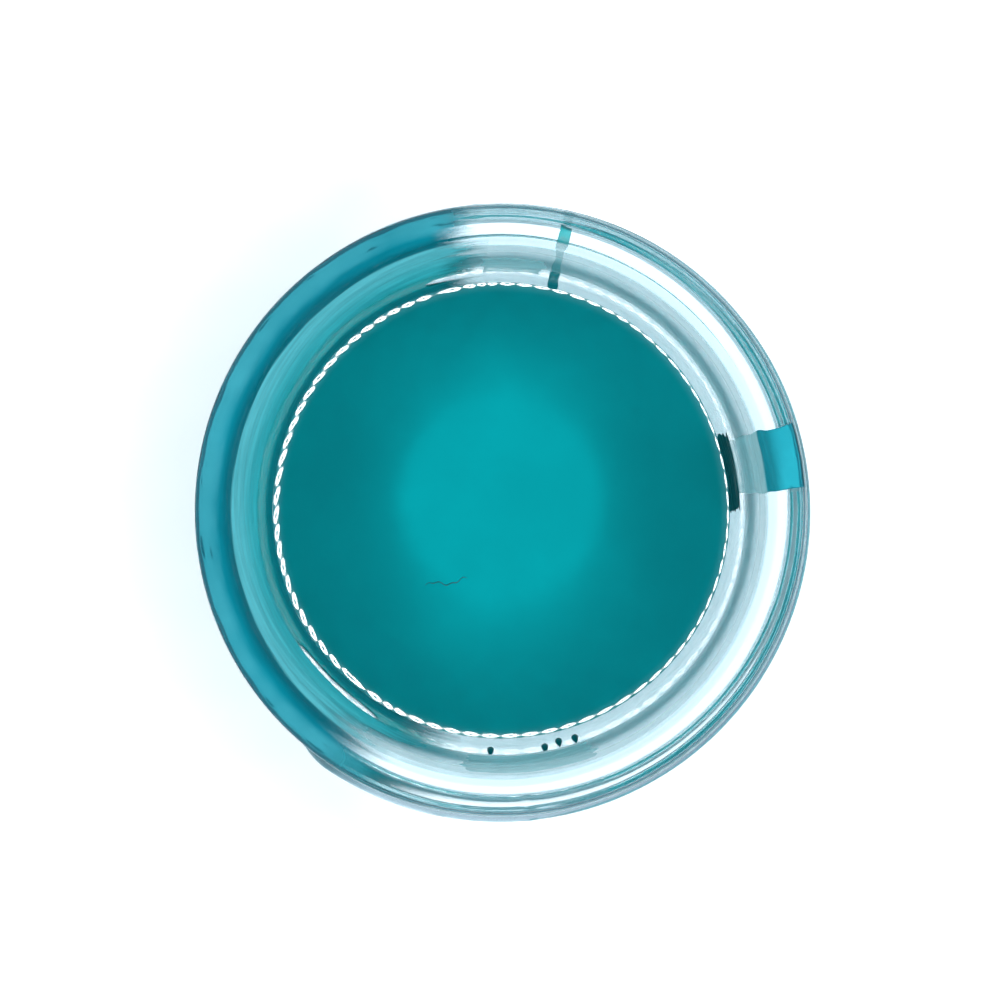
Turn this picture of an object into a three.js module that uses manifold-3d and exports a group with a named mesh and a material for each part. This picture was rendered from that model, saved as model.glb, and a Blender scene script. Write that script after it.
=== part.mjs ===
// Open screw-neck glass paint jar, part filled with teal paint.
//
// Millimetres, +Z up. The origin is the centre of the ring that the jar stands on.
// The jar is one moulded piece of clear glass, with a screw thread of just under one turn. The paint
// fills the jar to PAINT_LEVEL and climbs the wall a little. Dried paint is left on the inner wall
// as one wide film, one swipe up to the lip, one long run, two stains and a few drops.

import * as THREE from 'three';
import Module from 'manifold-3d';
import { mergeVertices } from 'three/addons/utils/BufferGeometryUtils.js';

// Jar, outside
const HEIGHT = 68;
const BODY_DIAMETER = 62.4;
const NECK_DIAMETER = 60;
const NECK_HEIGHT = 12;
const SHOULDER_HEIGHT = 5;
const HEEL_RADIUS = 4;
const STAND_RING_WIDTH = 2.5;
const PUSH_UP = 1.8;
const LIP_OUTER_ROUND = 0.8;

// Jar, inside
const WALL = 2.6;
const NECK_WALL = 2.8;
const SHOULDER_WALL = 2.6;
const FLOOR = 5;
const FLOOR_ROUND = 6;
const FLOOR_DOME = 1;
const LIP_INNER_ROUND = 1.5;

// Screw thread: a round bead that winds down the neck and fades out at both ends. Its angles are in
// degrees from +X, anticlockwise from above.
const THREAD_STAND = 1.6;
const THREAD_BEAD_RADIUS = 1.7;
const THREAD_LEAD = 3;
const THREAD_TOP = 3.9;
const THREAD_START = 222;
const THREAD_TURN = 346;
const THREAD_FADE = 14;
const THREAD_STEPS = 84;

// Paint
const PAINT_LEVEL = 37;
const MENISCUS_RISE = 1.1;
const MENISCUS_REACH = 2;

// Dried paint. Angles are in degrees from +X. Low and high are shares of the bare wall, which
// runs from just above the paint to the lip's inner round.
const FILM_THICKNESS = 0.4;
const PATCHES = {
  wall_film: { from: 96, to: 248, low: 0, high: 1 },
  side_swipe: { from: 4, to: 17, low: 0.14, high: 1 },
  low_swipe: { from: 0, to: 19, low: 0, high: 0.1 },
  long_run: { from: 75, to: 79, low: 0, high: 1 },
  back_stain: { from: 80.5, to: 94, low: 0.3, high: 0.45 },
  front_stain: { from: 262, to: 291, low: 0.58, high: 0.76 },
};
const DROP_RADIUS = 0.8;
const DROPS = [[267.5, 0.28], [280.5, 0.29], [284, 0.24], [288, 0.26]];

// Space between touching pieces, and fineness of the round surfaces
const GAP = 0.3;
const TURN_STEPS = 72;
const ROUND_STEPS = 6;

const bodyRadius = BODY_DIAMETER / 2;
const neckRadius = NECK_DIAMETER / 2;
const innerRadius = bodyRadius - WALL;
const mouthRadius = neckRadius - NECK_WALL;
const shoulderTop = HEIGHT - NECK_HEIGHT;
const innerShoulderTop = shoulderTop - SHOULDER_WALL;
const lipRoundStart = HEIGHT - LIP_INNER_ROUND;
const bareWallStart = PAINT_LEVEL + MENISCUS_RISE + GAP;
const point = (radius, z) => new THREE.Vector2(radius, z);

/** Height of a share of the bare wall above the paint. */
const wallHeight = (share) => THREE.MathUtils.lerp(bareWallStart, lipRoundStart, share);

/** Points on an arc about (radius, z), from one angle to another in degrees, ends included. */
function arcPoints(radius, z, round, from, to) {
  return Array.from({ length: ROUND_STEPS + 1 }, (_, i) => {
    const angle = THREE.MathUtils.degToRad(THREE.MathUtils.lerp(from, to, i / ROUND_STEPS));
    return point(radius + round * Math.cos(angle), z + round * Math.sin(angle));
  });
}

/** Points of a smooth S up from one radius and height to another, both ends included. */
function easePoints(fromRadius, fromZ, toRadius, toZ) {
  return Array.from({ length: ROUND_STEPS + 1 }, (_, i) => {
    const share = i / ROUND_STEPS;
    const eased = THREE.MathUtils.smoothstep(share, 0, 1);
    return point(THREE.MathUtils.lerp(fromRadius, toRadius, eased), THREE.MathUtils.lerp(fromZ, toZ, share));
  });
}

/** Half section of a jar floor: a low dome, then the round corner up to the wall. */
function floorPoints(radius, level) {
  const flat = radius - FLOOR_ROUND;
  return [
    point(0, level + FLOOR_DOME),
    point(flat / 2, level + FLOOR_DOME * 0.6),
    ...arcPoints(flat, level + FLOOR_ROUND, FLOOR_ROUND, -90, 0),
  ];
}

/** Half section of the inner wall from the shoulder up to the lip, moved inwards by an offset. */
function upperWallPoints(offset) {
  const wide = innerRadius - offset;
  const narrow = mouthRadius - offset;
  return [
    ...easePoints(wide, innerShoulderTop - SHOULDER_HEIGHT, narrow, innerShoulderTop),
    point(narrow, lipRoundStart),
  ];
}

/** Half section of the whole outside, from the foot up to the lip, closed over the mouth. */
function outsideProfile() {
  const heelCentre = bodyRadius - HEEL_RADIUS;
  const standInner = heelCentre - STAND_RING_WIDTH;
  return [
    point(0, PUSH_UP),
    point(standInner * 0.55, PUSH_UP * 0.8),
    point(standInner * 0.85, PUSH_UP * 0.35),
    point(standInner, 0),
    ...arcPoints(heelCentre, HEEL_RADIUS, HEEL_RADIUS, -90, 0),
    ...easePoints(bodyRadius, shoulderTop - SHOULDER_HEIGHT, neckRadius, shoulderTop),
    ...arcPoints(neckRadius - LIP_OUTER_ROUND, HEIGHT - LIP_OUTER_ROUND, LIP_OUTER_ROUND, 0, 90),
    point(0, HEIGHT),
  ];
}

/** Half section of the hollow, from the floor up through the mouth and past the lip. */
function hollowProfile() {
  const lipTopRadius = mouthRadius + LIP_INNER_ROUND;
  return [
    ...floorPoints(innerRadius, FLOOR),
    ...upperWallPoints(0),
    ...arcPoints(lipTopRadius, lipRoundStart, LIP_INNER_ROUND, 180, 90).slice(1),
    point(lipTopRadius, HEIGHT + WALL),
    point(0, HEIGHT + WALL),
  ];
}

/** Turns a half section about Z. It runs up on the outer side, so its faces point outwards. */
function turned(profile) {
  return new THREE.LatheGeometry(profile, TURN_STEPS).rotateX(Math.PI / 2);
}

/** Makes a closed geometry into a solid that can be joined and cut. */
function toSolid(wasm, geometry) {
  const plain = geometry.clone();
  plain.deleteAttribute('normal');
  plain.deleteAttribute('uv');
  const merged = mergeVertices(plain, 1e-4);
  return new wasm.Manifold(new wasm.Mesh({
    numProp: 3,
    vertProperties: new Float32Array(merged.attributes.position.array),
    triVerts: new Uint32Array(merged.index.array),
  }));
}

/** Makes a solid back into a geometry. */
function toGeometry(solid) {
  const mesh = solid.getMesh();
  const geometry = new THREE.BufferGeometry();
  geometry.setAttribute('position', new THREE.BufferAttribute(mesh.vertProperties, 3));
  geometry.setIndex(new THREE.BufferAttribute(mesh.triVerts, 1));
  geometry.computeVertexNormals();
  return geometry;
}

/** The thread: a round bead on a helix that sinks into the neck at both ends. */
function threadBead() {
  const standing = neckRadius + THREAD_STAND - THREAD_BEAD_RADIUS;
  const sunk = neckRadius - THREAD_BEAD_RADIUS - GAP;
  const centres = Array.from({ length: THREAD_STEPS + 1 }, (_, i) => {
    const wound = THREAD_TURN * i / THREAD_STEPS;
    const fromEnd = Math.min(wound, THREAD_TURN - wound);
    const radius = THREE.MathUtils.lerp(sunk, standing, THREE.MathUtils.smoothstep(fromEnd, 0, THREAD_FADE));
    const turn = THREE.MathUtils.degToRad(THREAD_START + wound);
    const drop = THREAD_LEAD * wound / 360;
    return new THREE.Vector3(radius * Math.cos(turn), radius * Math.sin(turn), HEIGHT - THREAD_TOP - drop);
  });
  const section = new THREE.Shape().absarc(0, 0, THREAD_BEAD_RADIUS, 0, 2 * Math.PI);
  return new THREE.ExtrudeGeometry(section, {
    extrudePath: new THREE.CatmullRomCurve3(centres),
    steps: THREAD_STEPS,
    curveSegments: 5,
    bevelEnabled: false,
  });
}

/** The glass jar: the turned outside with its thread, less the hollow. */
function glassJar(wasm) {
  const outside = toSolid(wasm, turned(outsideProfile()));
  const threaded = outside.add(toSolid(wasm, threadBead()));
  return toGeometry(threaded.subtract(toSolid(wasm, turned(hollowProfile()))));
}

/** The liquid paint: it follows the floor and the wall, and its surface climbs at the edge. */
function paintFill() {
  const radius = innerRadius - GAP;
  const edge = [0, 0.6, 1.4, 2.6, 4.4, 7].map((inwards) => (
    point(radius - inwards, PAINT_LEVEL + MENISCUS_RISE * Math.exp(-inwards / MENISCUS_REACH))
  ));
  return turned([...floorPoints(radius, FLOOR + GAP), ...edge, point(0, PAINT_LEVEL)]);
}

/** A skin that lines the whole bare wall, from the paint to the lip. */
function wallSkin() {
  const glassSide = [point(innerRadius - GAP, bareWallStart), ...upperWallPoints(GAP)];
  const inward = GAP + FILM_THICKNESS;
  const openSide = [point(innerRadius - inward, bareWallStart), ...upperWallPoints(inward)];
  return turned([...glassSide, ...openSide.reverse(), glassSide[0]]);
}

/** A wedge about Z between two angles in degrees and two heights, wider than the jar. */
function wedge(fromAngle, toAngle, low, high) {
  const [start, end] = [fromAngle, toAngle].map(THREE.MathUtils.degToRad);
  const outline = new THREE.Shape();
  outline.moveTo(0, 0);
  outline.absarc(0, 0, bodyRadius + WALL, start, end, false);
  outline.lineTo(0, 0);
  const geometry = new THREE.ExtrudeGeometry(outline, {
    depth: high - low, curveSegments: 24, bevelEnabled: false,
  });
  return geometry.translate(0, 0, low);
}

/** A patch of dried paint: the piece of the wall skin inside a wedge. */
function wallPatch(wasm, skin, { from, to, low, high }) {
  const cutter = toSolid(wasm, wedge(from, to, wallHeight(low), wallHeight(high)));
  return toGeometry(skin.intersect(cutter));
}

/** Radius of the inner wall at a height above the floor's round corner. */
function innerRadiusAt(z) {
  const narrowed = THREE.MathUtils.smoothstep(z, innerShoulderTop - SHOULDER_HEIGHT, innerShoulderTop);
  return THREE.MathUtils.lerp(innerRadius, mouthRadius, narrowed);
}

/** A drop of dried paint that stands off the inner wall, twice as tall as it is wide. */
function wallDrop(angle, share) {
  const turn = THREE.MathUtils.degToRad(angle);
  const z = wallHeight(share);
  const reach = innerRadiusAt(z + 2 * DROP_RADIUS) - GAP - DROP_RADIUS;
  return new THREE.SphereGeometry(DROP_RADIUS, 10, 8)
    .rotateX(Math.PI / 2)
    .scale(1, 1, 2)
    .translate(reach * Math.cos(turn), reach * Math.sin(turn), z);
}

/** A finish for one kind of surface. */
function finish(name, color, roughness, opacity = 1) {
  return new THREE.MeshStandardMaterial({
    name, color, roughness, metalness: 0, opacity, transparent: opacity < 1,
  });
}

/** Adds one named mesh, with a finish of its own, to a group. */
function addMesh(group, name, geometry, material) {
  const mesh = new THREE.Mesh(geometry, material);
  mesh.name = name;
  group.add(mesh);
}

const wasm = await Module();
wasm.setup();

const jar = new THREE.Group();
addMesh(jar, 'glass_jar', glassJar(wasm), finish('clear_glass', 0xe8f4f6, 0.03, 0.35));
addMesh(jar, 'paint_fill', paintFill(), finish('wet_paint', 0x029aa4, 0.15));

const driedPaint = new THREE.Group();
const skin = toSolid(wasm, wallSkin());
for (const [name, patch] of Object.entries(PATCHES)) {
  addMesh(driedPaint, name, wallPatch(wasm, skin, patch), finish('dry_paint', 0x04828f, 0.45));
}
DROPS.forEach(([angle, share], i) => {
  addMesh(driedPaint, `front_drop_${i + 1}`, wallDrop(angle, share), finish('dry_paint', 0x04828f, 0.45));
});
jar.add(driedPaint);

export default jar;
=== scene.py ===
"""Looks of an open glass paint jar, part filled with teal paint.

The jar is one smooth shell of clear glass with almost one turn of screw thread. The paint touches the
glass and climbs it a little. Dried paint lines half of the inner wall, with a swipe, a run, stains and
drops on the rest. Everything is in metres, with Z up and the origin under the middle of the jar.

Round surfaces are grids of two numbers: the turn about Z, and the way along a half section, which is a
line of (radius, height) points. Angles are in degrees from +X, anticlockwise seen from above.
"""

import logging
import math
from dataclasses import dataclass, field, replace
from enum import Enum

import bpy
import numpy as np
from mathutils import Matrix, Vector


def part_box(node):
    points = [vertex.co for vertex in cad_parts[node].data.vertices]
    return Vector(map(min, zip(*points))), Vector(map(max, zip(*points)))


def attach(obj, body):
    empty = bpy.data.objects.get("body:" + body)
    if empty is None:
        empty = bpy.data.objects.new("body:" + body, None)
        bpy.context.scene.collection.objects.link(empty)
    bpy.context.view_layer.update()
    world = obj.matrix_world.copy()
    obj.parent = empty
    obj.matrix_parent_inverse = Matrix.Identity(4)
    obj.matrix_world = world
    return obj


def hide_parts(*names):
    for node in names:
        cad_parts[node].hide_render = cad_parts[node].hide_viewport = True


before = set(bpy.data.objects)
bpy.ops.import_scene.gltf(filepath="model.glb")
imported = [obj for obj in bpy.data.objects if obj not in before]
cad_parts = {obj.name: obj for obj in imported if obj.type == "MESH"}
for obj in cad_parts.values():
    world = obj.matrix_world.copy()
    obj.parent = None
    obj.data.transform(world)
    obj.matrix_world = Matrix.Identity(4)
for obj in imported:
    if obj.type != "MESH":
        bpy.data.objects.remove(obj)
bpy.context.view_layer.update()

Colour = tuple[float, float, float]
Span = tuple[float, float]
Socket = bpy.types.NodeSocket

LOG = logging.getLogger("paint_jar")
MM = 0.001
BODY = "root"
PAINT_GAP = 0.3 * MM
EDGE_CLIMB = 1.1 * MM
DROPS = 4


# --------------------------------------------------------------------------------------------
# Grids and sections
# --------------------------------------------------------------------------------------------


def smooth_step(value: np.ndarray | float, low: float, high: float) -> np.ndarray:
    """Eases from 0 at low to 1 at high: t * t * (3 - 2 t) of the clamped share t.

    Args:
        value: Where to read the step.
        low: Where it starts to rise.
        high: Where it reaches 1.

    Returns:
        The eased share, the same shape as value.
    """
    share = np.clip((np.asarray(value, float) - low) / (high - low), 0.0, 1.0)
    return share * share * (3.0 - 2.0 * share)


def arc(centre: tuple[float, float], radius: float, start: float, end: float, steps: int = 12) -> np.ndarray:
    """Points on a round stretch of a section: centre + radius * (cos a, sin a).

    Args:
        centre: The round's centre, as (radius from Z, height).
        radius: The round's own radius.
        start: First angle in degrees, from level outwards.
        end: Last angle in degrees.
        steps: How many steps to take.

    Returns:
        An array of (radius, height) rows.
    """
    angle = np.radians(np.linspace(start, end, steps + 1))
    return np.column_stack((centre[0] + radius * np.cos(angle), centre[1] + radius * np.sin(angle)))


def ease(start: tuple[float, float], end: tuple[float, float], steps: int = 16) -> np.ndarray:
    """Points on an S from one radius and height to another: height even, radius eased.

    Args:
        start: First (radius, height).
        end: Last (radius, height).
        steps: How many steps to take.

    Returns:
        An array of (radius, height) rows.
    """
    share = np.linspace(0.0, 1.0, steps + 1)
    radius = start[0] + (end[0] - start[0]) * smooth_step(share, 0.0, 1.0)
    return np.column_stack((radius, start[1] + (end[1] - start[1]) * share))


def along(section: np.ndarray, share: np.ndarray) -> tuple[np.ndarray, np.ndarray]:
    """Reads a section at shares of its own length, straight between its points.

    Args:
        section: Rows of (radius, height).
        share: Shares of the length, from 0 to 1.

    Returns:
        The radii and the heights at those shares.
    """
    length = np.concatenate(([0.0], np.cumsum(np.hypot(*np.diff(section, axis=0).T))))
    place = np.asarray(share) * length[-1]
    return np.interp(place, length, section[:, 0]), np.interp(place, length, section[:, 1])


def resample(section: np.ndarray, step: float) -> np.ndarray:
    """Adds points to the long straight stretches of a section and keeps all that it has.

    Args:
        section: Rows of (radius, height).
        step: The longest distance wanted between two points.

    Returns:
        The denser rows.
    """
    gaps = np.hypot(*np.diff(section, axis=0).T)
    pieces = [
        np.linspace(a, b, max(1, math.ceil(gap / step)), endpoint=False)
        for a, b, gap in zip(section[:-1], section[1:], gaps)
    ]
    return np.vstack([*pieces, section[-1:]])


def polar(radius: np.ndarray, turn: np.ndarray, height: np.ndarray) -> np.ndarray:
    """Points from radius, turn and height: (r cos t, r sin t, h).

    Args:
        radius: Distances from Z.
        turn: Turns about Z in radians.
        height: Heights.

    Returns:
        An array with x, y and z on its last axis.
    """
    radius, turn, height = np.broadcast_arrays(radius, turn, height)
    return np.stack((radius * np.cos(turn), radius * np.sin(turn), height), axis=-1)


def new_object(
    name: str, points: np.ndarray, quads: np.ndarray, fans: np.ndarray | None = None
) -> bpy.types.Object:
    """Makes a smooth-shaded mesh object at the origin from points and faces.

    Args:
        name: The piece's name.
        points: Rows of x, y, z.
        quads: Rows of four point numbers.
        fans: Rows of three point numbers, where the piece has poles.

    Returns:
        The linked object.
    """
    mesh = bpy.data.meshes.new(name)
    faces = quads.tolist() + ([] if fans is None else fans.tolist())
    mesh.from_pydata(points.tolist(), [], faces)
    mesh.polygons.foreach_set("use_smooth", np.ones(len(mesh.polygons), bool))
    mesh.update()
    piece = bpy.data.objects.new(name, mesh)
    bpy.context.scene.collection.objects.link(piece)
    return piece


def turned_shell(
    name: str, rings: np.ndarray, poles: np.ndarray, turned_over: bool = False
) -> bpy.types.Object:
    """Closes a stack of rings into one skin, with a pole at each end.

    Ring i and turn j give point (i, j). Neighbouring rings are joined by quads, and the first and the
    last ring by triangles to their poles. The faces point outwards when the rings run from a pole
    underneath, out and up, and back in over the top.

    Args:
        name: The piece's name.
        rings: Points with the shape (rings, turns, 3).
        poles: The first and the last pole.
        turned_over: Whether the faces are turned over, for rings that run the other way.

    Returns:
        The closed piece.
    """
    count, turns, _ = rings.shape
    ids = np.arange(count * turns).reshape(count, turns)
    right = np.roll(ids, -1, axis=1)
    quads = np.stack((ids[:-1], right[:-1], right[1:], ids[1:]), axis=-1).reshape(-1, 4)
    first, last = (np.full(turns, count * turns + pole) for pole in (0, 1))
    first_fan = np.column_stack((first, right[0], ids[0]))
    last_fan = np.column_stack((last, ids[-1], right[-1]))
    fans = np.vstack((first_fan, last_fan))
    if turned_over:
        quads, fans = quads[:, [0, 3, 2, 1]], fans[:, [0, 2, 1]]
    return new_object(name, np.vstack((rings.reshape(-1, 3), poles)), quads, fans)


def full_turn(steps: int) -> np.ndarray:
    """Even turns in radians round a whole circle, as one row."""
    return np.linspace(0.0, 2.0 * np.pi, steps, endpoint=False)[None, :]


def on_axis(low: float, high: float) -> np.ndarray:
    """Two poles on Z at two heights."""
    return np.array([[0.0, 0.0, low], [0.0, 0.0, high]])


def dress(piece: bpy.types.Object, node: str, slot: str, *finishes: object) -> bpy.types.Object:
    """Gives a piece its materials and its body, and hides the CAD node that it stands for.

    Args:
        piece: The piece.
        node: The CAD node that it replaces.
        slot: The material slot of that node. Not used.
        *finishes: The finishes, in the order of the faces' material numbers.

    Returns:
        The same piece.
    """
    for finish in finishes:
        piece.data.materials.append(finish.material())
    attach(piece, BODY)
    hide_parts(node)
    return piece


def pillow(name: str, front: np.ndarray, back: np.ndarray) -> bpy.types.Object:
    """Closes two grids that share their border into one thin skin.

    Only the inner points of the back grid are new, so the two sides meet along the border.

    Args:
        name: The piece's name.
        front: Points with the shape (rows, columns, 3), whose faces point out by the right-hand rule.
        back: The other side, in the same shape.

    Returns:
        The closed piece.
    """
    rows, columns, _ = front.shape
    front_ids = np.arange(rows * columns).reshape(rows, columns)
    back_ids = front_ids.copy()
    inner = (rows - 2) * (columns - 2)
    back_ids[1:-1, 1:-1] = rows * columns + np.arange(inner).reshape(rows - 2, columns - 2)
    quads = [
        np.stack((ids[:-1, :-1], ids[:-1, 1:], ids[1:, 1:], ids[1:, :-1]), axis=-1).reshape(-1, 4)
        for ids in (front_ids, back_ids)
    ]
    points = np.vstack((front.reshape(-1, 3), back[1:-1, 1:-1].reshape(-1, 3)))
    return new_object(name, points, np.vstack((quads[0], quads[1][:, ::-1])))


def wander(turn: np.ndarray, seed: float, waves: tuple[int, ...]) -> np.ndarray:
    """A smooth irregular line round the jar: sines of several waves a turn, each with its own phase.

    Args:
        turn: Turns about Z in radians.
        seed: Shifts all the phases.
        waves: How many waves each sine has in a full turn.

    Returns:
        Values from about -1 to 1.
    """
    total = sum(np.sin(n * turn + seed * (1.0 + 0.37 * n)) / math.sqrt(k + 1.0) for k, n in enumerate(waves))
    return total / sum(1.0 / math.sqrt(k + 1.0) for k in range(len(waves)))


# --------------------------------------------------------------------------------------------
# Finishes
# --------------------------------------------------------------------------------------------


class Nodes:
    """Short ways to add and join the nodes of one material, world or group."""

    def __init__(self, tree: bpy.types.NodeTree) -> None:
        """Keeps the tree that the nodes go into."""
        self.tree = tree

    def put(self, socket: Socket, value: object) -> None:
        """Joins an output to a socket, or sets the socket to a value.

        Args:
            socket: The input.
            value: An output socket, or a value of the input's own kind.
        """
        if isinstance(value, Socket):
            self.tree.links.new(value, socket)
        else:
            socket.default_value = value

    def fill(self, node: bpy.types.Node, **sockets: object) -> None:
        """Joins or sets the inputs of a node.

        Args:
            node: The node.
            **sockets: Input names, with _ for a space, and a value or an output socket for each.
        """
        for name, value in sockets.items():
            self.put(node.inputs[name.replace("_", " ")], value)

    def add(self, kind: str, **sockets: object) -> bpy.types.Node:
        """Adds a node and joins or sets its inputs.

        Args:
            kind: The node's type name.
            **sockets: As in fill.

        Returns:
            The new node.
        """
        node = self.tree.nodes.new(kind)
        self.fill(node, **sockets)
        return node

    def operate(self, kind: str, operation: str, values: tuple[object, ...]) -> bpy.types.Node:
        """Adds a sum of numbers or vectors.

        Args:
            kind: The node's type name.
            operation: Which sum.
            values: Values or output sockets, in order.

        Returns:
            The new node.
        """
        node = self.tree.nodes.new(kind)
        node.operation = operation
        for socket, value in zip(node.inputs, values):
            self.put(socket, value)
        return node

    def math(self, operation: str, *values: object) -> Socket:
        """Adds a sum of one to three numbers and returns its result."""
        return self.operate("ShaderNodeMath", operation, values).outputs[0]

    def vector_math(self, operation: str, *values: object) -> bpy.types.Node:
        """Adds a sum of vectors and returns its node."""
        return self.operate("ShaderNodeVectorMath", operation, values)

    def place(self) -> Socket:
        """Adds the Object coordinates and returns them."""
        return self.add("ShaderNodeTexCoord").outputs["Object"]

    def part(self, vector: Socket, axis: str) -> Socket:
        """Adds a split of a vector and returns its X, Y or Z."""
        return self.add("ShaderNodeSeparateXYZ", Vector=vector).outputs[axis]

    def noise(self, vector: Socket, scale: object, detail: float, roughness: float = 0.5) -> Socket:
        """Adds a noise of a scale in waves a metre and returns its value."""
        node = self.add("ShaderNodeTexNoise", Vector=vector, Scale=scale, Detail=detail, Roughness=roughness)
        return node.outputs["Fac"]

    def ramp(self, value: Socket, low: float, high: float, shape: str = "SMOOTHSTEP") -> Socket:
        """Adds a step from 0 at low to 1 at high.

        Args:
            value: Where to read the step.
            low: Where it starts to rise.
            high: Where it reaches 1.
            shape: How it rises.

        Returns:
            The step's output.
        """
        node = self.add("ShaderNodeMapRange", Value=value, From_Min=low, From_Max=high)
        node.interpolation_type = shape
        return node.outputs["Result"]

    def mix(self, share: Socket, first: object, second: object, blend: str = "MIX") -> Socket:
        """Adds a mix of two colours.

        Args:
            share: How much of the second colour there is.
            first: The first colour.
            second: The second colour.
            blend: How the second colour is laid on the first.

        Returns:
            The mix's output.
        """
        node = self.tree.nodes.new("ShaderNodeMix")
        node.data_type = "RGBA"
        node.blend_type = blend
        self.put(node.inputs[0], share)
        self.fill(node, A=first, B=second)
        return node.outputs["Result"]

    def bump(self, height: Socket, depth: float) -> Socket:
        """Adds a bump of a depth in metres and returns its normal."""
        return self.add("ShaderNodeBump", Height=height, Distance=depth).outputs["Normal"]


def rgba(colour: Colour) -> tuple[float, float, float, float]:
    """A colour with full alpha."""
    return (*colour, 1.0)


class Pattern(Enum):
    """Named patterns that more than one finish uses, each a node group built once."""

    MOTTLE = "paint_mottle"
    SMEAR = "smear"


MOTTLE_SOCKETS = [
    ("INPUT", "Light", "Color"),
    ("INPUT", "Dark", "Color"),
    ("OUTPUT", "Color", "Color"),
    ("OUTPUT", "Cloud", "Float"),
]
SMEAR_SOCKETS = [("OUTPUT", "Mask", "Float"), ("OUTPUT", "Height", "Float"), ("INPUT", "Facing", "Float")]
SMEAR_METRES_A_RADIAN = 0.004
MOTTLE_EDGE = (0.35, 0.7)
SMEAR_EDGE = (0.38, 0.62)


def pattern_group(pattern: Pattern) -> bpy.types.NodeTree:
    """Gives the node group of a pattern, and builds it the first time.

    MOTTLE mixes two colours by a soft cloud. SMEAR gives a streaky mask and a height, drawn out along
    the turn about Z: Facing is 1 for pieces on the +X side and -1 for pieces on the -X side.

    Args:
        pattern: Which pattern.

    Returns:
        The group.
    """
    found = bpy.data.node_groups.get(pattern.value)
    if found:
        return found
    group = bpy.data.node_groups.new(pattern.value, "ShaderNodeTree")
    nodes = Nodes(group)
    mottled = pattern is Pattern.MOTTLE
    sockets = [("INPUT", "Scale", "Float"), ("INPUT", "Seed", "Float")]
    sockets += MOTTLE_SOCKETS if mottled else SMEAR_SOCKETS
    for side, name, kind in sockets:
        group.interface.new_socket(name, in_out=side, socket_type=f"NodeSocket{kind}")
    given = nodes.add("NodeGroupInput").outputs
    result = nodes.add("NodeGroupOutput").inputs
    place = nodes.place()
    if mottled:
        shift = nodes.add("ShaderNodeCombineXYZ", X=given["Seed"], Y=given["Seed"]).outputs[0]
        cloud = nodes.noise(nodes.vector_math("ADD", place, shift).outputs[0], given["Scale"], 4.0, 0.55)
        soft = nodes.ramp(cloud, *MOTTLE_EDGE)
        nodes.put(result["Color"], nodes.mix(soft, given["Dark"], given["Light"]))
        nodes.put(result["Cloud"], soft)
    else:
        parts = nodes.add("ShaderNodeSeparateXYZ", Vector=place).outputs
        across = nodes.math("MULTIPLY", parts["X"], given["Facing"])
        aside = nodes.math("MULTIPLY", parts["Y"], given["Facing"])
        drawn_out = nodes.math("MULTIPLY", nodes.math("ARCTAN2", aside, across), SMEAR_METRES_A_RADIAN)
        flat = nodes.add("ShaderNodeCombineXYZ", X=drawn_out, Y=given["Seed"], Z=parts["Z"]).outputs[0]
        smear = nodes.noise(flat, given["Scale"], 5.0, 0.6)
        nodes.put(result["Mask"], nodes.ramp(smear, *SMEAR_EDGE))
        nodes.put(result["Height"], smear)
    return group


def use_pattern(nodes: Nodes, pattern: Pattern, **sockets: object) -> bpy.types.Node:
    """Places a pattern's group in a material with its own values.

    Args:
        nodes: The material's nodes.
        pattern: Which pattern.
        **sockets: Values for the group's inputs.

    Returns:
        The group node.
    """
    node = nodes.tree.nodes.new("ShaderNodeGroup")
    node.node_tree = pattern_group(pattern)
    for name, value in sockets.items():
        nodes.put(node.inputs[name], value)
    return node


def new_material(name: str) -> tuple[bpy.types.Material, Nodes, bpy.types.Node]:
    """Makes an empty node material.

    Args:
        name: The material's name.

    Returns:
        The material, its nodes and its Principled shader.
    """
    material = bpy.data.materials.new(name)
    material.use_nodes = True
    nodes = Nodes(material.node_tree)
    return material, nodes, material.node_tree.nodes["Principled BSDF"]


@dataclass(frozen=True)
class GlassFinish:
    """Clear moulded glass: almost smooth, a little wavy, and scuffed dull round its shoulder.

    Lamps shine partly through it, by a Transparent shader on shadow rays, so that light falls on the
    paint through the neck as well as through the mouth.
    """

    tint: Colour = (0.93, 0.978, 1.0)
    shadow_tint: Colour = (0.28, 0.33, 0.35)
    refraction: float = 1.52
    wave_scale: float = 120.0
    wave_depth: float = 0.04 * MM
    roughness: float = 0.06
    scuff_low: float = 50.0 * MM
    scuff_high: float = 60.5 * MM
    scuff_rise: float = 2.0 * MM
    scuff_fall: float = 1.5 * MM
    scuff_roughness: float = 0.4

    def material(self) -> bpy.types.Material:
        """Builds the material.

        Returns:
            The material.
        """
        material, nodes, shader = new_material("clear_glass")
        place = nodes.place()
        height = nodes.part(place, "Z")
        scuffed = nodes.ramp(height, self.scuff_low, self.scuff_low + self.scuff_rise)
        smooth_above = nodes.ramp(height, self.scuff_high - self.scuff_fall, self.scuff_high)
        scuffs = nodes.math("SUBTRACT", scuffed, smooth_above)
        added = self.scuff_roughness - self.roughness
        nodes.fill(
            shader,
            Base_Color=rgba(self.tint),
            Roughness=nodes.math("MULTIPLY_ADD", scuffs, added, self.roughness),
            IOR=self.refraction,
            Transmission_Weight=1.0,
            Normal=nodes.bump(nodes.noise(place, self.wave_scale, 2.0), self.wave_depth),
        )
        clear = nodes.add("ShaderNodeBsdfTransparent", Color=rgba(self.shadow_tint))
        shadow = nodes.add("ShaderNodeLightPath").outputs["Is Shadow Ray"]
        mixed = nodes.add("ShaderNodeMixShader")
        for socket, value in zip(mixed.inputs, (shadow, shader.outputs[0], clear.outputs[0])):
            nodes.put(socket, value)
        output = next(n for n in nodes.tree.nodes if n.type == "OUTPUT_MATERIAL")
        nodes.fill(output, Surface=mixed.outputs[0])
        return material


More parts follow.
